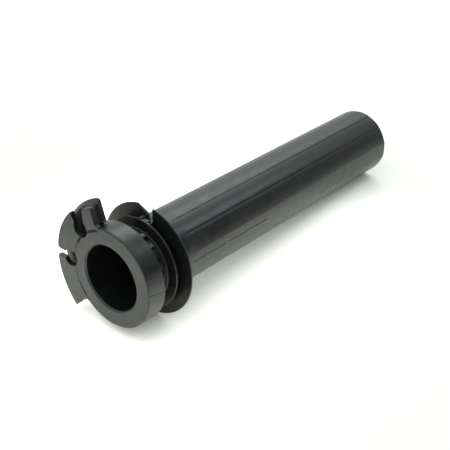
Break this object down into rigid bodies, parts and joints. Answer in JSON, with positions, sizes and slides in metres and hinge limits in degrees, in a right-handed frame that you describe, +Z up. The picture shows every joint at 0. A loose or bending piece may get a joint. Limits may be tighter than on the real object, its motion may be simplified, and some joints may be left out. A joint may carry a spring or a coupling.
{
  "type": "throttle tube",
  "caption": "Black moulded twist-throttle tube: open-ended barrel for a rubber grip, thin slotted grip flange, guide disc, bearing collar and a two-plate cable quadrant with nipple seats.",
  "frame": {"origin": "centre of the bore in the plane of the housing end", "axes": "+X along the tube from the housing end to the grip's tip, +Y towards the nipple seat on the mould's parting plane, +Z up as the tube lies in the picture, less the 3 degree slope of its axis"},
  "size_m": [0.1402, 0.0445, 0.0429],
  "materials": {
    "black_nylon": "satin moulded black nylon"
  },
  "bodies": {
    "root": {"throttle_tube": "black_nylon"}
  },
  "joints": []
}
